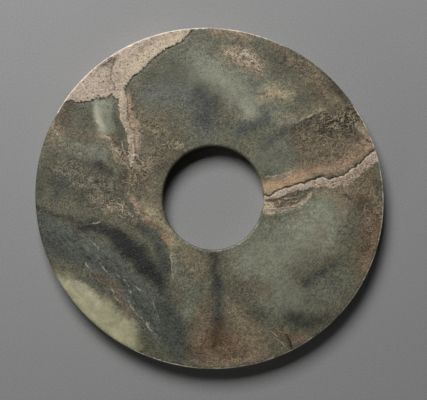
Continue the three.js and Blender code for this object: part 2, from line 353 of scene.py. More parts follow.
    ("steel", 0.95, 3.6, [(13, 35, 2.2), (22, 39, 2.6), (32, 42.6, 1.8)]),
    ("slate", 0.7, 3.4, [(28, 28, 1.8), (35, 33, 2), (42, 37, 1.4)]),
    ("tan", 0.6, 3, [(38, 41, 1.2), (48, 44, 1.8), (58, 48, 1.6)]),
    ("bark", 0.85, 3, [(44, 36, 1.2), (52, 40, 1.4), (60, 43, 1.2)]),
    ("umber", 0.95, 5, [(58, 35, 3), (67, 38, 4.6), (75, 40, 5), (79, 39, 2.4)]),
    ("umber", 0.9, 3, [(58, 66, 0.8), (65, 59, 1.6), (71, 51, 2.2), (76, 44, 2.4)]),
    ("tan", 0.7, 2.6, [(62, 53.5, 1.4), (69, 51, 1.2)]),
    ("cream", 0.95, 1.8, [(78.6, 40, 0.9), (81.4, 36, 1.3)]),
    ("fawn", 0.8, 2.4, [(83, 34, 1.2), (85, 29, 1.2)]),
]
# Strokes of colour in the crust
CRUST_STROKES = [
    ("fawn", 0.95, 3, [(54, 6, 2), (63, 6, 2.6), (72, 9, 3.4), (82, 17, 3)]),
    ("earth", 0.22, 3, [(64, 7, 2.6), (72, 9, 3.4), (80, 15, 3)]),
    ("tan", 0.7, 2.4, [(-43.5, 46, 1.4), (-42, 34, 1.4), (-41, 22, 1)]),
    ("sand", 0.8, 4, [(-38, 70, 2.5), (-30, 77, 3), (-16, 84, 3)]),
    ("sand", 0.7, 3, [(-46, 64, 1), (-42, 66, 1.6), (-36, 72, 2)]),
    ("straw", 0.7, 3, [(-46, 64, 2), (-43, 61, 1.5)]),
    ("straw", 0.6, 3, [(-73, 53, 2), (-70, 55, 1)]),
    ("straw", 0.4, 3, [(-58, 66, 2), (-54, 63, 1)]),
    ("dirt", 1, 2.4, [(-57, 69.5, 1), (-53, 71, 1.8), (-49, 73.5, 1)]),
    ("dirt", 0.7, 1.6, [(-39, 81, 0.6), (-35.5, 78, 0.9)]),
    ("dirt", 0.6, 1.6, [(-33, 81, 0.8), (-27, 84, 0.6)]),
    ("dirt", 0.35, 3, [(-50, 68, 1), (-47, 63, 1.2)]),
    ("bone", 0.6, 1.6, [(-66, 59, 0.8), (-61, 53, 0.8)]),
    ("cream", 0.5, 3, [(-46.5, 56, 1.5), (-45.5, 48, 1.5)]),
]
# Where the stone is full of fine pale threads, and of what colour
THREAD_STROKES = [
    ("cream", 0.7, 4, [(-84, 38, 2), (-81, 33, 3)]),
    ("sage", 0.75, 6, [(-80, 15, 3), (-72, 14, 5), (-62, 9, 5), (-52, 6, 4)]),
    ("tan", 0.4, 5, [(-70, 14, 3), (-60, 7, 3), (-50, 4, 3)]),
    ("tan", 0.85, 4, [(-52, 29, 2), (-47, 22, 4), (-39, 20, 4), (-34, 14, 4), (-40, 8, 3)]),
    ("cream", 0.75, 2.4, [(-41, 50, 1.4), (-40, 40, 1.8), (-38, 30, 2)]),
    ("cream", 0.6, 2.5, [(-58, 32.5, 0.8), (-53, 31, 1.2), (-50.5, 26, 1), (-48, 20.5, 0.7)]),
    ("cream", 0.35, 3, [(-37, 22, 1.6), (-33, 19, 2), (-30, 16, 1.4)]),
    ("cream", 0.6, 5, [(-60, 0, 3), (-52, -4, 4), (-44, -7, 3.4), (-38, -10, 2)]),
    ("gold", 0.65, 5, [(-36, 42, 3), (-29, 38, 4), (-24, 33, 3)]),
    ("straw", 0.8, 3, [(-31, 26, 1.5), (-22, 27, 2.4), (-14, 28, 1.5)]),
    ("cream", 0.8, 4.2, [(8, 77, 2.8), (16, 75, 4.6), (25, 69, 3.6)]),
    ("sand", 0.6, 4, [(31, 53, 2.5), (37, 55, 3)]),
    ("tan", 0.6, 6, [(40, 72, 4), (52, 66, 5), (60, 58, 4)]),
    ("tan", 0.85, 6, [(56, 38, 4), (66, 42, 6), (72, 46, 5)]),
    ("gold", 1, 4, [(66, 37, 3), (74, 42, 4), (79, 38, 3)]),
    ("tan", 0.7, 6, [(48, 30, 5), (62, 28, 5), (74, 32, 4)]),
    ("fawn", 0.7, 4, [(52, 19, 2.4), (66, 21, 3), (78, 27, 3), (85, 32, 2)]),
    ("tan", 0.85, 5, [(70, 2, 3), (78, 9, 3), (86, 4, 3), (86, -8, 3)]),
    ("fawn", 0.6, 4, [(82, -8, 3), (85, -22, 2.6), (83, -36, 2)]),
    ("tan", 0.5, 4, [(-29, 22, 3), (-25, 17, 2), (-21, 27, 3)]),
    ("putty", 0.8, 3, [(-41, 1, 1.6), (-36, -4, 2), (-31, -11, 1.6)]),
    ("sage", 0.6, 5, [(-80, 26, 3), (-66, 25, 3)]),
    ("fawn", 0.3, 6, [(14, -60, 4), (16, -74, 6), (6, -82, 4), (26, -80, 4)]),
    ("fawn", 0.4, 4, [(-3, -58, 2), (-4, -76, 3)]),
    ("fawn", 0.5, 3, [(-6, -86, 2), (6, -86, 2), (18, -83, 2)]),
    ("straw", 0.4, 5, [(-14, -32, 3), (-6, -38, 4)]),
    ("fawn", 0.5, 3, [(2, 86, 1.5), (20, 84, 1.5)]),
    ("tan", 0.25, 3.5, [(-78, -13, 1.4), (-68, -15, 2)]),
]


class Number:
    """A number inside a node tree. Plain arithmetic on it adds the Math nodes."""

    def __init__(self, tree, socket):
        self.tree = tree
        self.socket = socket

    def math(self, operation, *others, clamp=False):
        values = dict(enumerate((self, *others)))
        node = add_node(self.tree, "ShaderNodeMath", values, operation=operation, use_clamp=clamp)
        return Number(self.tree, node.outputs[0])

    def __add__(self, other):
        return self.math("ADD", other)

    def __sub__(self, other):
        return self.math("SUBTRACT", other)

    def __rsub__(self, other):
        return self.math("MULTIPLY", -1).math("ADD", other)

    def __mul__(self, other):
        return self.math("MULTIPLY", other)

    def __truediv__(self, other):
        return self.math("DIVIDE", other)

    __radd__ = __add__
    __rmul__ = __mul__

    def step(self, low, high):
        """0 below low and 1 above high, with a smooth rise between; low may be the larger one."""
        start, end = (0, 1) if low < high else (1, 0)
        limits = {"From Min": min(low, high), "From Max": max(low, high), "To Min": start, "To Max": end}
        values = {"Value": self, **limits}
        node = add_node(self.tree, "ShaderNodeMapRange", values, interpolation_type="SMOOTHSTEP")
        return Number(self.tree, node.outputs["Result"])


def feed(tree, value, socket):
    if isinstance(value, Number):
        tree.links.new(value.socket, socket)
    elif isinstance(value, bpy.types.NodeSocket):
        tree.links.new(value, socket)
    else:
        socket.default_value = value


def add_node(tree, kind, inputs, **settings):
    """A new node of a kind, first with its settings, then with its inputs fed by name or by place."""
    node = tree.nodes.new(kind)
    for name, setting in settings.items():
        setattr(node, name, setting)
    for name, value in inputs.items():
        feed(tree, value, node.inputs[name])
    return node


# The ring, as a tree that walks round its section: up the rim, over the face, down the hole and back below
def ring_inputs():
    """The tree's named inputs, each with its kind and its value."""
    lengths = {
        "Diameter": DISC_DIAMETER,
        "Ovality": DISC_OVALITY,
        "Thickness": THICKNESS,
        "Rim Arris": RIM_ARRIS,
        "Hole Diameter": HOLE_DIAMETER,
        "Hole Ovality": HOLE_OVALITY,
        "Hole Shift X": HOLE_SHIFT[0],
        "Hole Shift Y": HOLE_SHIFT[1],
        "Hole Arris": HOLE_ARRIS,
        "Waist Depth": WAIST_DEPTH,
        "Ridge Height": RIDGE_HEIGHT,
    }
    inputs = {name: ("NodeSocketFloat", length * MM) for name, length in lengths.items()}
    inputs["Long Diameter Turn"] = ("NodeSocketFloat", LONG_DIAMETER_TURN)
    inputs.update({name: ("NodeSocketInt", count) for name, count in MESH_COUNTS.items()})
    return inputs


def ring_tree(jade):
    tree = bpy.data.node_groups.new("ground_ring", "GeometryNodeTree")
    for name, (kind, _) in ring_inputs().items():
        tree.interface.new_socket(name=name, in_out="INPUT", socket_type=kind)
    tree.interface.new_socket(name="Ring", in_out="OUTPUT", socket_type="NodeSocketGeometry")
    group_in = tree.nodes.new("NodeGroupInput")
    size = {name: Number(tree, group_in.outputs[name]) for name in ring_inputs()}

    stretches = [
        "Rim Wall Rows", "Rim Arris Rows", "Face Rows", "Hole Arris Rows", "Hole Wall Rows", "Hole Wall Rows",
        "Lower Arris Rows", "Underside Rows", "Lower Arris Rows",
    ]
    starts = []
    rows = None
    for name in stretches:
        starts.append(rows)
        rows = size[name] if rows is None else rows + size[name]

    # a flat grid of side 1, whose X is then the way round the ring and whose Y is the way round its section
    counts = {"Vertices X": size["Around"] + 1, "Vertices Y": rows + 1}
    grid = add_node(tree, "GeometryNodeMeshGrid", {"Size X": 1, "Size Y": 1, **counts})
    place = tree.nodes.new("GeometryNodeInputPosition")
    parts = add_node(tree, "ShaderNodeSeparateXYZ", {0: place.outputs[0]})
    angle = (Number(tree, parts.outputs["X"]) + 0.5) * (2 * math.pi)
    row = (Number(tree, parts.outputs["Y"]) + 0.5) * rows

    passed = [
        (row if start is None else row - start).math("DIVIDE", size[name], clamp=True)
        for name, start in zip(stretches, starts)
    ]
    up_rim, over_rim, over_face, over_hole, to_ridge, from_ridge, under_hole, under_face, under_rim = passed
    quarter = math.pi / 2

    def sine(share):
        return (share * quarter).math("SINE")

    def cosine(share):
        return (share * quarter).math("COSINE")

    thickness, rim_arris, hole_arris = size["Thickness"], size["Rim Arris"], size["Hole Arris"]
    ridge = size["Ridge Height"]
    height = rim_arris + (thickness - rim_arris * 2) * up_rim + rim_arris * sine(over_rim)
    height = height - hole_arris * (1 - cosine(over_hole)) - (thickness - hole_arris - ridge) * to_ridge
    height = height - (ridge - hole_arris) * from_ridge - hole_arris * sine(under_hole)
    height = height + rim_arris * (1 - cosine(under_rim))
    rim_inset = rim_arris * (1 - cosine(over_rim) - sine(under_rim))
    hole_inset = hole_arris * (1 - sine(over_hole)) + hole_arris * (1 - cosine(under_hole))
    hole_inset = hole_inset - size["Waist Depth"] * (to_ridge - from_ridge)
    share = over_face - under_face

    oval = ((angle - size["Long Diameter Turn"]) * 2).math("COSINE")
    rim = (size["Diameter"] + size["Ovality"] * oval) / 2 - rim_inset
    hole = (size["Hole Diameter"] - size["Hole Ovality"] * (angle * 2).math("COSINE")) / 2 + hole_inset
    radius = rim * (1 - share) + hole * share
    over = angle.math("COSINE") * radius + size["Hole Shift X"] * share
    up = angle.math("SINE") * radius + size["Hole Shift Y"] * share
    point = add_node(tree, "ShaderNodeCombineXYZ", {"X": over, "Y": up, "Z": height}).outputs[0]

    ring = grid.outputs["Mesh"]
    for kind, inputs in (
        ("GeometryNodeSetPosition", {"Position": point}),
        ("GeometryNodeMergeByDistance", {"Distance": SEAM_GAP * MM}),
        ("GeometryNodeRealizeInstances", {}),
        ("GeometryNodeSetMaterial", {"Material": jade}),
    ):
        ring = add_node(tree, kind, {"Geometry": ring, **inputs}).outputs["Geometry"]
    add_node(tree, "NodeGroupOutput", {"Ring": ring})
    return tree


def ground_ring(jade):
    """The bare ring as a plain mesh, before time has worked on it."""
    ring = bpy.data.objects.new("weathered_disc", bpy.data.meshes.new("weathered_disc"))
    bpy.context.scene.collection.objects.link(ring)
    maker = ring.modifiers.new("ground_ring", "NODES")
    maker.node_group = ring_tree(jade)
    values = ring_inputs()
    for item in maker.node_group.interface.items_tree:
        if item.in_out == "INPUT":
            maker[item.identifier] = values[item.name][1]
    depsgraph = bpy.context.evaluated_depsgraph_get()
    mesh = bpy.data.meshes.new_from_object(ring.evaluated_get(depsgraph), depsgraph=depsgraph)
    ring.modifiers.remove(maker)
    ring.data = mesh
    return ring


# Plain geometry on arrays of points, in mm
def smooth(share):
    share = np.clip(share, 0, 1)
    return share * share * (3 - 2 * share)


def blend(first, second, share):
    return first + (second - first) * share[..., None]


class Drift:
    """Smooth noise from -1 to 1 over the plane, the same on every run."""

    CELLS = 256
    FAR = 1000.5  # keeps the cell numbers above 0

    def __init__(self, seed):
        self.grid = np.random.default_rng(seed).random((self.CELLS, self.CELLS)) * 2 - 1

    def at(self, x, y, size):
        u, v = x / size + self.FAR, y / size + self.FAR
        column, row = np.floor(u).astype(int), np.floor(v).astype(int)
        across, up = smooth(u - column), smooth(v - row)
        left, right = column % self.CELLS, (column + 1) % self.CELLS
        low, high = row % self.CELLS, (row + 1) % self.CELLS
        below = self.grid[left, low] * (1 - across) + self.grid[right, low] * across
        above = self.grid[left, high] * (1 - across) + self.grid[right, high] * across
        return below * (1 - up) + above * up

    def layered(self, x, y, layers):
        """The noise at several sizes together, from pairs of a size and a strength."""
        return sum(self.at(x, y, size) * strength for size, strength in layers)


def from_segment(x, y, ax, ay, bx, by):
    """How far each point is from a straight line from a to b, and how far along it that is, from 0 to 1."""
    dx, dy = bx - ax, by - ay
    share = np.clip(((x - ax) * dx + (y - ay) * dy) / (dx * dx + dy * dy), 0, 1)
    return np.hypot(x - ax - share * dx, y - ay - share * dy), share


def reach(x, y, stroke):
    """How far each point is from a stroke of [x, y, half-width] points, and below 0 inside it."""
    nearest = np.full(x.shape, np.inf)
    for (ax, ay, a_half), (bx, by, b_half) in zip(stroke, stroke[1:]):
        gap, share = from_segment(x, y, ax, ay, bx, by)
        nearest = np.minimum(nearest, gap - (a_half + (b_half - a_half) * share))
    return nearest


def beside(x, y, lines):
    """How far each point is from the nearest of several lines, below 0 on the lines' right-hand side."""
    nearest = np.full(x.shape, np.inf)
    for line in lines:
        for (ax, ay), (bx, by) in zip(line, line[1:]):
            gap, _ = from_segment(x, y, ax, ay, bx, by)
            side = (bx - ax) * (y - ay) - (by - ay) * (x - ax)
            nearest = np.where(gap < np.abs(nearest), np.copysign(gap, side), nearest)
    return nearest


def reach_outline(x, y, outline):
    """How far each point is from a closed outline, and below 0 inside it."""
    nearest = np.full(x.shape, np.inf)
    inside = np.zeros(x.shape, bool)
    for (ax, ay), (bx, by) in zip(outline, outline[1:] + outline[:1]):
        nearest = np.minimum(nearest, from_segment(x, y, ax, ay, bx, by)[0])
        if ay != by:
            inside ^= ((ay > y) != (by > y)) & (x < (bx - ax) * (y - ay) / (by - ay) + ax)
    return np.where(inside, -nearest, nearest)


def reach_hole(x, y):
    """How far each point stands out from the hole's edge."""
    over, up = x - HOLE_SHIFT[0], y - HOLE_SHIFT[1]
    turn = np.arctan2(up, over)
    return np.hypot(over, up) - (HOLE_DIAMETER - HOLE_OVALITY * np.cos(2 * turn)) / 2


def reach_rim(x, y):
    """How far each point stands in from the rim."""
    turn = np.arctan2(y, x) - LONG_DIAMETER_TURN
    return (DISC_DIAMETER + DISC_OVALITY * np.cos(2 * turn)) / 2 - np.hypot(x, y)


# Chance, the same on every run: noises over the plane, and the curling threads
WANDER_X = Drift(seed=11)
WANDER_Y = Drift(seed=12)
MOTTLE = Drift(seed=5)
ROUGH = Drift(seed=31)
CURL_SEED = 7
CURL_SPREAD = 0.5  # radians that a curl may start off its place's direction
CURL_BEND = 0.6  # radians that it may turn at each step

# Pairs of a size and of how far points move at that size, in mm
STROKE_WANDER = ((14, 1.6), (5, 0.9), (1.8, 0.35))
EDGE_WANDER = ((3.2, 0.5), (1.3, 0.45))
# How a stroke's edge breaks up: pairs of a size in mm and a share, and the most as a share of the softness
STROKE_MOTTLE = ((3.1, 0.6), (1.3, 0.4))
STROKE_BREAK = 0.35
STROKE_FALL = 1.6  # a stroke's edge falls off over this many times its softness


def curls():
    """Lines for the curling threads, scattered over their places."""
    chance = np.random.default_rng(CURL_SEED)
    lines = list(CRUST_CURLS)
    for count, middle, spread, turn, steps in CURL_PLACES:
        for _ in range(count):
            point = np.array(middle) + chance.normal(size=2) * spread
            heading = math.radians(turn) + chance.normal() * CURL_SPREAD
            line = [tuple(point)]
            for _ in range(steps):
                heading += chance.normal() * CURL_BEND
                point = point + (math.cos(heading), math.sin(heading))
                line.append(tuple(point))
            lines.append(line)
    return lines


def wander(x, y, layers):
    """Moves points a little this way and that, so that no stroke has a ruled edge."""
    return x + WANDER_X.layered(x, y, layers), y + WANDER_Y.layered(x, y, layers)


def in_light(colour):
    """The stone's own colour, as linear light, that the studio light shows as the colour named."""
    shown = np.array(STONE_COLOURS[colour]) / 255
    return ((shown + 0.055) / 1.055) ** 2.4 / LIT_WHITE


def covers(x, y, strokes):
    """How much of each point every stroke in turn covers. A stroke is strength, softness and points."""
    near_x, near_y = wander(x, y, STROKE_WANDER)
    broken = MOTTLE.layered(x, y, STROKE_MOTTLE)
    for strength, softness, stroke in strokes:
        gap = reach(near_x, near_y, stroke) + broken * softness * STROKE_BREAK
        yield smooth(0.5 - gap / (STROKE_FALL * softness)) * strength


def covered(x, y, strokes):
    """How much of each point the strokes cover together."""
    return np.maximum.reduce(list(covers(x, y, strokes)))


def uncoloured(strokes):
    return [stroke[1:] for stroke in strokes]


def painted(x, y, ground, strokes):
    """Colours laid over a ground colour stroke by stroke."""
    colours = np.ones(x.shape + (3,)) * in_light(ground)
    for (colour, *_), cover in zip(strokes, covers(x, y, uncoloured(strokes))):
        colours = blend(colours, in_light(colour), cover)
    return colours


def give(mesh, name, *columns):
    """Stores one, three or four values at each point of the mesh, for the material to read."""
    kinds = {1: ("FLOAT", "value"), 3: ("FLOAT_VECTOR", "vector"), 4: ("FLOAT_COLOR", "color")}
    kind, field = kinds[len(columns)]
    values = np.stack(columns, axis=1).astype(np.float32)
    mesh.attributes.new(name, kind, "POINT").data.foreach_set(field, values.ravel())


def points_of(mesh):
    """The mesh's points in mm."""
    places = np.empty(len(mesh.vertices) * 3, np.float32)
    mesh.vertices.foreach_get("co", places)
    return places.reshape(-1, 3).astype(float) / MM


# The relief on the upper face, in mm
UPPER_DEPTH = 1.5 * RIM_ARRIS  # the relief is lost at this depth down the walls
WAVES = ((13, 0.05),)  # pairs of a size and a height
RIPPLES = ((4.5, 0.025),)
LUMPS = ((3, 0.05), (1.4, 0.04))
CRUST_SHOULDER = 0.7  # the width that the crust's edge takes to rise
LUMP_ROOM = 0.1  # the crust's level lies this far below its highest lumps
FOOT_DEPTH = 0.14  # of the worn furrow along the crust's foot
FOOT_WIDTH = 0.6
BAND_RISE = 0.14
BAND_SHOULDER = 1
CRACK_DEPTH = 0.6
CRACK_HALF = 0.42
HOLLOW_DEPTH = 0.3
HOLLOW_SHOULDER = 1.6
LEDGE_DROP = 0.25  # the most that a ledge adds to the hollow's depth
LEDGE_WIDTH = 2.6
LEDGE_BENDS = ((4.5, 1.3),)  # pairs of a size and how far a ledge strays, in its own widths
LEDGE_FRAYS = ((1.7, 0.55),)

# Where marks lie, in mm
TOWARDS_LIGHT = (-0.25, 0.6)  # painted shadow lies where the crust is this far away, towards the light
SLANT = (0.35, -0.25)  # how far the stone's colours lie to the side for each mm of depth
CRUST_WASTE = 0.8  # how far the crust draws back for each mm down the rim
CRACK_WASTE = 0.1  # and how far a line does, until nothing of it is left
VEIN_WASTE = 0.3
HOLE_NARROWING = 0.5  # the pale edge is this much narrower round the hole than round the rim
UNSTROKED_NARROWING = 0.8  # and this much narrower where no stroke paints it pale


def relief(x, y, crust, band, crack, hollow, ledges):
    """How far the upper face stands proud or sinks at each point."""
    lumps = MOTTLE.layered(x, y, LUMPS)
    rise = WANDER_X.layered(x, y, WAVES) + WANDER_Y.layered(x, y, RIPPLES)
    on_crust = smooth(0.5 - crust / CRUST_SHOULDER)
    foot = np.exp(-(((crust - FOOT_WIDTH) / FOOT_WIDTH) ** 2))
    rise = rise + on_crust * (CRUST_RISE - LUMP_ROOM + lumps) - FOOT_DEPTH * foot
    rise = rise + smooth(0.5 - band / BAND_SHOULDER) * (BAND_RISE + lumps)
    drop = LEDGE_DROP * smooth(ledges % 1 * 1.5)
    rise = rise - smooth(0.3 - hollow / HOLLOW_SHOULDER) * (HOLLOW_DEPTH + drop)
    return rise - CRACK_DEPTH * np.exp(-((crack / CRACK_HALF) ** 2))


def weather(mesh):
    """Works the relief into the mesh and stores the stone's colours on it."""
    x, y, z = points_of(mesh).T
    depth = THICKNESS - z
    upper = smooth(1 - depth / UPPER_DEPTH)
    edge_x, edge_y = wander(x, y, EDGE_WANDER)
    crust = reach_outline(edge_x, edge_y, CRUST_OUTLINE)
    # where the crust's edge casts its painted shadow, on the side away from the light
    dirt = reach_outline(edge_x + TOWARDS_LIGHT[0], edge_y + TOWARDS_LIGHT[1], CRUST_OUTLINE)
    band = reach(edge_x, edge_y, PALE_BAND)
    crack = beside(edge_x, edge_y, [CRACK])
    hollow = reach_outline(edge_x, edge_y, HOLLOW_OUTLINE)
    ledges = -crack / LEDGE_WIDTH + MOTTLE.layered(x, y, LEDGE_BENDS) + ROUGH.layered(x, y, LEDGE_FRAYS)

    # the relief on the upper face, fading to nothing down the walls
    z = z + upper * np.minimum(relief(x, y, crust, band, crack, hollow, ledges), CRUST_RISE)
    mesh.vertices.foreach_set("co", (np.stack([x, y, z], axis=1) * MM).astype(np.float32).ravel())
    mesh.update()

    # the stone's colours run through it, and lie a little to the side lower down
    slant_x, slant_y = x + SLANT[0] * depth, y + SLANT[1] * depth
    threads = covered(slant_x, slant_y, uncoloured(THREAD_STROKES)) * (0.5 + 0.5 * upper)
    give(mesh, "stone_colour", *painted(slant_x, slant_y, "olive", STONE_STROKES).T)
    give(mesh, "crust_colour", *painted(x, y, "putty", CRUST_STROKES).T)
    give(mesh, "thread_colour", *painted(slant_x, slant_y, "tan", THREAD_STROKES).T, threads)

    # the lines and edges of the upper face, which are lost further down
    below = np.maximum(depth - RIM_ARRIS, 0)

    def fading(gap, rate):
        return gap + np.copysign(rate * below, gap)

    def vein(lines):
        return fading(beside(edge_x, edge_y, lines), VEIN_WASTE)

    drawn_back = CRUST_WASTE * below
    give(mesh, "edges", np.minimum(crust, band) + drawn_back, fading(crack, CRACK_WASTE), hollow)
    give(mesh, "veins", vein(PALE_VEINS), vein(DARK_VEINS), ledges)
    give(mesh, "curls", vein(curls()))
    # where the arris is painted pale, as wear and as a painted highlight
    wear_and_highlight = covered(x, y, WEAR_AND_HIGHLIGHT_STROKES)
    arris = np.minimum(reach_rim(x, y), reach_hole(x, y) + HOLE_NARROWING) + UNSTROKED_NARROWING * (1 - wear_and_highlight)
    give(mesh, "wear", arris, upper, covered(slant_x, slant_y, CALM_STROKES))
    # the streaks, and where the crust's painted shadow lies
    rising = covered(slant_x, slant_y, RISING_STREAKS)
    falling = covered(slant_x, slant_y, FALLING_STREAKS)
    give(mesh, "streaks", rising, falling, dirt + drawn_back)


# The stone's finish. The sizes of its noises, in mm
FINE_GRAIN = 0.56
COARSE_GRAIN = 1.05
CLOUD = 7
STREAK = 1.3
STREAK_LENGTH = 3.5  # times the streak's width
RISING_TURN = 28  # degrees from +X
FALLING_TURN = -50
THREAD_TURN = 22
THREAD_LENGTH = 2.6
# How strongly each mark shows in the colour, from 0 to 1. The crust dirt, ledge lines, band ledges and curl
# gaps are painted shade; the ledge tops and band lip are painted highlights; the worn edge is pale wear with
# a painted highlight
SHOWN = {
    "clouds": 0.32, "coarse grain": 0.33, "fine grain": 0.42, "thread ground": 0.27,
    "rising streaks": 0.4, "falling streaks": 0.32, "gaps": 0.6, "worms": 0.24,
    "dark specks": 0.55, "pale specks": 0.25, "ledge lines": 0.75, "ledge tops": 0.6,
    "crust dirt": 0.8, "crust stains": 0.7, "crust web": 0.6, "crust pits": 0.7,
    "band ledges": 0.5, "band lip": 0.5, "pale veins": 0.55, "dark veins": 0.6,
    "curl gaps": 0.3, "crack": 0.9, "worn edge": 0.85,
}
# The finest relief, which is bump only, in mm
BUMPS = {
    "fine grain": 0.025, "coarse grain": 0.05, "threads": 0.08, "crust": 0.2,
    "crust grain": 0.04, "streaks": 0.05, "ledge lines": 0.12, "crack": 0.3,
    "gaps": 0.08, "crust pits": 0.1, "pale lines": 0.06,
}


def new_material(name):
    """A material, with its tree and its shader."""
    material = bpy.data.materials.new(name)
    material.use_nodes = True
    return material, material.node_tree, material.node_tree.nodes["Principled BSDF"]


def jade_material():
    material, tree, shader = new_material("weathered_jade")

    def vector_math(operation, inputs):
        return add_node(tree, "ShaderNodeVectorMath", inputs, operation=operation).outputs[0]

    def scaled(vector, level):
        return vector_math("SCALE", {0: vector, "Scale": level})

    spot = scaled(tree.nodes.new("ShaderNodeTexCoord").outputs["Object"], 1 / MM)

    def noise(size, detail=2, roughness=0.5, distortion=0, at=spot):
        """Noise round 0, mostly from -1 to 1, whose patches are about as wide as size, in mm."""
        kind = {"Detail": detail, "Roughness": roughness, "Distortion": distortion}
        node = add_node(tree, "ShaderNodeTexNoise", {"Vector": at, "Scale": 1 / size, **kind})
        return (Number(tree, node.outputs[0]) - 0.5) * 4

    def lines(*kind, **places):
        """The same noise without its sign, so that it is 0 along winding lines."""
        return noise(*kind, **places).math("ABSOLUTE")

    def drawn_out(turn, length):
        """Places for a noise that is drawn out along a direction, turn degrees from +X."""
        values = {"Vector": spot, "Rotation": (0, 0, math.radians(turn)), "Scale": (length, 1, 1)}
        return add_node(tree, "ShaderNodeMapping", values, vector_type="TEXTURE").outputs[0]

    def stored(name):
        return add_node(tree, "ShaderNodeAttribute", {}, attribute_name=name)

    def parts_of(name):
        node = add_node(tree, "ShaderNodeSeparateXYZ", {0: stored(name).outputs["Vector"]})
        return [Number(tree, socket) for socket in node.outputs]

    def mix(first, second, share):
        node = add_node(tree, "ShaderNodeMix", {"Factor": share, "A": first, "B": second}, data_type="RGBA")
        return node.outputs["Result"]

    def darkened(colour, share):
        return scaled(colour, 1 - share)

    def plain(colour):
        return (*in_light(colour), 1)

    pale_edge, crack, hollow = parts_of("edges")
    pale_vein, dark_vein, ledges = parts_of("veins")
    arris, upper, calm = parts_of("wear")
    # the streaks, and where the crust's painted shadow lies
    rising, falling, dirt = parts_of("streaks")
    threads = stored("thread_colour")
    threaded = Number(tree, threads.outputs["Alpha"])
    grainy = 1 - calm * 0.8

    # the stone's own grain: clouds, streaks and the finest grain
    fine = noise(FINE_GRAIN, 1)
    coarse = noise(COARSE_GRAIN, 2, 0.6)
    clouds = noise(CLOUD, 6, 0.68, 0.6)
    risen = noise(STREAK, 3, 0.6, at=drawn_out(RISING_TURN, STREAK_LENGTH))
    fallen = noise(STREAK, 3, 0.6, at=drawn_out(FALLING_TURN, STREAK_LENGTH))
    level = (coarse * SHOWN["coarse grain"] + fine * SHOWN["fine grain"]) * grainy
    level = clouds * SHOWN["clouds"] + level - threaded * SHOWN["thread ground"]
    level = level + rising * risen * SHOWN["rising streaks"] + falling * fallen * SHOWN["falling streaks"]
    colour = scaled(stored("stone_colour").outputs["Vector"], (level + 1).math("MAXIMUM", 0.25))
    warmth = noise(3, 4, 0.65) * 0.5 + coarse * 0.25
    tint = add_node(tree, "ShaderNodeCombineXYZ", {"X": warmth * 0.1 + 1, "Y": 1, "Z": 0.96 - warmth * 0.16})
    colour = vector_math("MULTIPLY", {0: colour, 1: tint.outputs[0]})

    # fine pale threads and specks with dark gaps between them
    net = lines(2.8, 1.5, 0.5, 1.2).step(0.22, 0.07)
    net = net.math("MAXIMUM", lines(1.6, 1, 0.5, 0.8).step(0.22, 0.06) * 0.9)
    net = net.math("MAXIMUM", lines(1, 1, 0.5, 0.6).step(0.28, 0.08) * 0.8)
    drawn = lines(1.1, 1, 0.5, 0.6, at=drawn_out(THREAD_TURN, THREAD_LENGTH)).step(0.3, 0.08)
    specks = noise(0.7, 1).step(0.2, 0.6)
    worms = (net + (drawn - net) * rising).math("MAXIMUM", specks * 0.6) * noise(2.4, 1).step(-1, 0.4)
    gaps = (0.35 + threaded * 0.8) * grainy * (1 - worms) * noise(0.62, 2, 0.6).step(0.3, -0.4)
    colour = darkened(colour, gaps * SHOWN["gaps"])
    colour = scaled(colour, 1 + worms * grainy * SHOWN["worms"])
    colour = mix(colour, scaled(threads.outputs["Color"], 1.32 + fine * 0.4), threaded * worms)
    flecked = calm.step(0.97, 0.85)
    dark_specks = noise(0.75, 0).step(-0.8, -1.1) * flecked
    colour = darkened(colour, dark_specks * SHOWN["dark specks"])
    pale_specks = noise(0.7, 0).step(1, 1.3) * flecked
    colour = mix(colour, plain("cream"), pale_specks * SHOWN["pale specks"])

    # the flaked hollow under the crack, with its thin broken layers: painted shade on the slope of each ledge
    # that faces away from the light, and a painted highlight beside the step that faces it
    in_hollow = (hollow + noise(1.3, 2) * 0.35).step(0.25, -0.25) * upper
    fall = (ledges + coarse * 0.08 + fine * 0.05).math("FRACT")
    broken = noise(3, 2).step(-0.8, 0)
    # painted shade on each ledge's slope, and a painted highlight beside its step
    shaded_ledge_lines = fall.step(0, 0.06) * fall.step(0.26, 0.14) * broken
    ledge_highlights = fall.step(0.8, 0.97) * broken
    colour = mix(colour, plain("umber"), in_hollow * shaded_ledge_lines * SHOWN["ledge lines"])
    colour = mix(colour, plain("cream"), in_hollow * ledge_highlights * SHOWN["ledge tops"])

    # the pale crust with its sharp edge, and the painted shadow that the edge casts on its side away from the
    # light
    teeth = noise(1.3, 1) * 0.6 + fine * 0.25
    ragged = pale_edge + teeth
    on_crust = ragged.step(0.14, -0.14)
    # painted shadow under the crust's edge, on its side away from the light
    painted_crust_shadow = (dirt + teeth).step(0.25, -0.25) * ragged.step(0, 0.2)
    colour = darkened(colour, painted_crust_shadow * noise(2.6, 1).step(-0.9, 0.1) * SHOWN["crust dirt"])
    crust_grain = coarse * 0.26 + fine * 0.28 + clouds * 0.2 + 1.07
    crust_colour = scaled(stored("crust_colour").outputs["Vector"], crust_grain)
    crust_stains = noise(4.5, 4, 0.75).step(0.1, 0.9)
    crust_colour = mix(crust_colour, plain("dirt"), crust_stains * SHOWN["crust stains"])
    crust_web = lines(3, 3, 0.7, 0.4).step(0.24, 0.04) * noise(3, 1).step(-0.6, 0.4)
    crust_colour = mix(crust_colour, plain("bone"), crust_web * SHOWN["crust web"])

    # the band below the crack, which is crust too: painted shade and painted highlights along its layers, and
    # a painted highlight along its lip by the crack
    beneath = crack.step(0, -0.5) * crack.step(-9, -8)
    # painted shade along the band's layers
    crust_colour = darkened(crust_colour, beneath * shaded_ledge_lines * SHOWN["band ledges"])
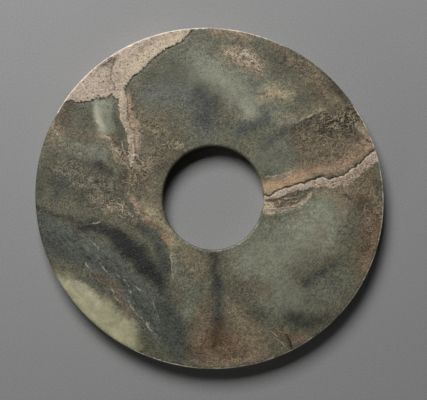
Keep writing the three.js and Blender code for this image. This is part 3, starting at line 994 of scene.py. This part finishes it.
    # a painted highlight along the band's lip by the crack, and on its layers
    lip_highlight = crack.step(-1.5, -0.5) * noise(2.2, 2).step(-0.8, 0.4) * SHOWN["band lip"]
    band_highlights = (ledge_highlights * SHOWN["ledge tops"]).math("MAXIMUM", lip_highlight)
    crust_colour = mix(crust_colour, plain("bone"), beneath * band_highlights)
    crust_pits = noise(1, 2).step(-0.42, -0.8)
    crust_colour = darkened(crust_colour, crust_pits * SHOWN["crust pits"])
    colour = mix(colour, crust_colour, on_crust)

    # thin veins, the dark ones a little weaker on the crust
    wavering = noise(1.1, 2)
    pale_line = (pale_vein + wavering * 0.22).math("ABSOLUTE").step(VEIN_HALF * 1.7, VEIN_HALF * 0.4)
    pale_line = pale_line * noise(1.6, 2).step(-0.6, 0.3)
    colour = mix(colour, plain("milk"), pale_line * SHOWN["pale veins"])
    dark_line = (dark_vein + wavering * 0.2).math("ABSOLUTE").step(VEIN_HALF * 1.9, VEIN_HALF * 0.5)
    colour = darkened(colour, dark_line * (SHOWN["dark veins"] - on_crust * 0.12))

    # curling threads, each with a ring of painted shade beside it, as if it stood raised
    curl_distance = Number(tree, stored("curls").outputs["Fac"]).math("ABSOLUTE")
    curl = (curl_distance + fine * 0.08).step(0.4, 0.1) * noise(1.6, 1).step(-1, 0)
    # painted shade in a ring beside each curl
    colour = darkened(colour, curl_distance.step(1, 0.4) * (1 - curl) * SHOWN["curl gaps"])
    curl_colour = mix(scaled(threads.outputs["Color"], threaded * 0.35 + 1.08), plain("bone"), on_crust)
    colour = mix(colour, curl_colour, curl * (threaded * 0.4 + 0.5))

    # the crack
    crack_line = (crack + noise(0.8, 1) * 0.12).math("ABSOLUTE").step(CRACK_HALF, 0.16)
    colour = mix(colour, plain("umber"), crack_line * noise(2.6, 2).step(-1.2, -0.2) * SHOWN["crack"])

    # the pale arris, partly wear and partly a painted highlight, which breaks here and there
    wear_and_highlight = (arris + noise(1.6, 2) * 0.3).step(0.95, 0.35) * upper
    colour = mix(colour, plain("chalk"), wear_and_highlight * noise(5, 2).step(-1.3, 0.2) * SHOWN["worn edge"])
    feed(tree, colour, shader.inputs["Base Color"])

    roughness = coarse * 0.06 + threaded * 0.15 + on_crust * 0.3 - calm * 0.06 + 0.46
    feed(tree, roughness, shader.inputs["Roughness"])
    shader.inputs["Specular IOR Level"].default_value = 0.4

    height = (fine * BUMPS["fine grain"] + coarse * BUMPS["coarse grain"]) * grainy
    height = height + threaded * worms * BUMPS["threads"]
    height = height + on_crust * (coarse * BUMPS["crust grain"] + BUMPS["crust"])
    height = height + (rising * risen + falling * fallen) * BUMPS["streaks"]
    height = height - in_hollow * shaded_ledge_lines * BUMPS["ledge lines"] - crack_line * BUMPS["crack"]
    height = height - gaps * BUMPS["gaps"] - crust_pits * on_crust * BUMPS["crust pits"]
    height = height + (pale_line + curl) * BUMPS["pale lines"]
    bump = add_node(tree, "ShaderNodeBump", {"Distance": MM, "Height": height})
    feed(tree, bump.outputs[0], shader.inputs["Normal"])
    return material


# The floor, the light and the camera, in metres but for the view
FLOOR_SIDE = 3
FLOOR_GREY = 0.385
FLOOR_GRAINS = 1400  # to the metre
FLOOR_MOTTLE = 0.2
LIGHT_BEARING = math.radians(20)  # from +Y towards -X
LIGHT_ELEVATION = math.radians(50.5)
LIGHT_DISTANCE = 0.84
LIGHT_SIDE = 0.38
LIGHT_POWER = 5.65
FILL_ELEVATION = math.radians(9)
FILL_DISTANCE = 1.3
FILL_SIDE = 0.3
FILL_POWER = 2.6
SKY_LEVEL = 0.006
CAMERA_HEIGHT = 0.6  # above the disc's face
CAMERA_AIM = (2.08, -0.89)  # mm
VIEW_WIDTH = 222.5  # what the picture's width takes in at the disc's face, in mm
FILM_WIDTH = 36  # of the camera itself, in mm


def soft_light(name, side, power, out, distance):
    """A square lamp that shines at the disc's middle from the direction out."""
    lamp = bpy.data.lights.new(name, "AREA")
    lamp.size = side
    lamp.energy = power
    light = bpy.data.objects.new(name, lamp)
    light.location = out * distance
    light.rotation_euler = out.to_track_quat("Z", "Y").to_euler()
    bpy.context.scene.collection.objects.link(light)


def studio():
    bpy.ops.mesh.primitive_plane_add(size=FLOOR_SIDE)
    floor = bpy.context.object
    floor.name = "floor"
    paper, tree, shader = new_material("pale_floor")
    where = tree.nodes.new("ShaderNodeTexCoord").outputs["Object"]
    noise = add_node(tree, "ShaderNodeTexNoise", {"Vector": where, "Scale": FLOOR_GRAINS})
    grey = (Number(tree, noise.outputs[0]) - 0.5) * FLOOR_MOTTLE + FLOOR_GREY
    joined = add_node(tree, "ShaderNodeCombineColor", {0: grey, 1: grey, 2: grey})
    feed(tree, joined.outputs[0], shader.inputs["Base Color"])
    shader.inputs["Roughness"].default_value = 0.9
    shader.inputs["Specular IOR Level"].default_value = 0.1
    floor.data.materials.append(paper)

    over, up = -math.sin(LIGHT_BEARING), math.cos(LIGHT_BEARING)
    level = math.cos(LIGHT_ELEVATION)
    high = Vector((over * level, up * level, math.sin(LIGHT_ELEVATION)))
    soft_light("softbox", LIGHT_SIDE, LIGHT_POWER, high, LIGHT_DISTANCE)
    low = Vector((over, -up, math.tan(FILL_ELEVATION)))
    soft_light("low_fill", FILL_SIDE, FILL_POWER, low, FILL_DISTANCE)

    world = bpy.data.worlds.new("studio")
    world.use_nodes = True
    background = world.node_tree.nodes["Background"]
    background.inputs["Color"].default_value = (1, 1, 1, 1)
    background.inputs["Strength"].default_value = SKY_LEVEL
    bpy.context.scene.world = world
    bpy.context.scene.view_settings.view_transform = "Standard"


def overhead_camera():
    lens = bpy.data.cameras.new("overhead")
    lens.sensor_width = FILM_WIDTH
    lens.lens = FILM_WIDTH * CAMERA_HEIGHT / (VIEW_WIDTH * MM)
    camera = bpy.data.objects.new("overhead", lens)
    camera.location = (CAMERA_AIM[0] * MM, CAMERA_AIM[1] * MM, CAMERA_HEIGHT + THICKNESS * MM)
    bpy.context.scene.collection.objects.link(camera)
    bpy.context.scene.camera = camera


disc = ground_ring(jade_material())
weather(disc.data)
disc.data.shade_smooth()
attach(disc, "root")
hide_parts(DISC)
studio()
overhead_camera()
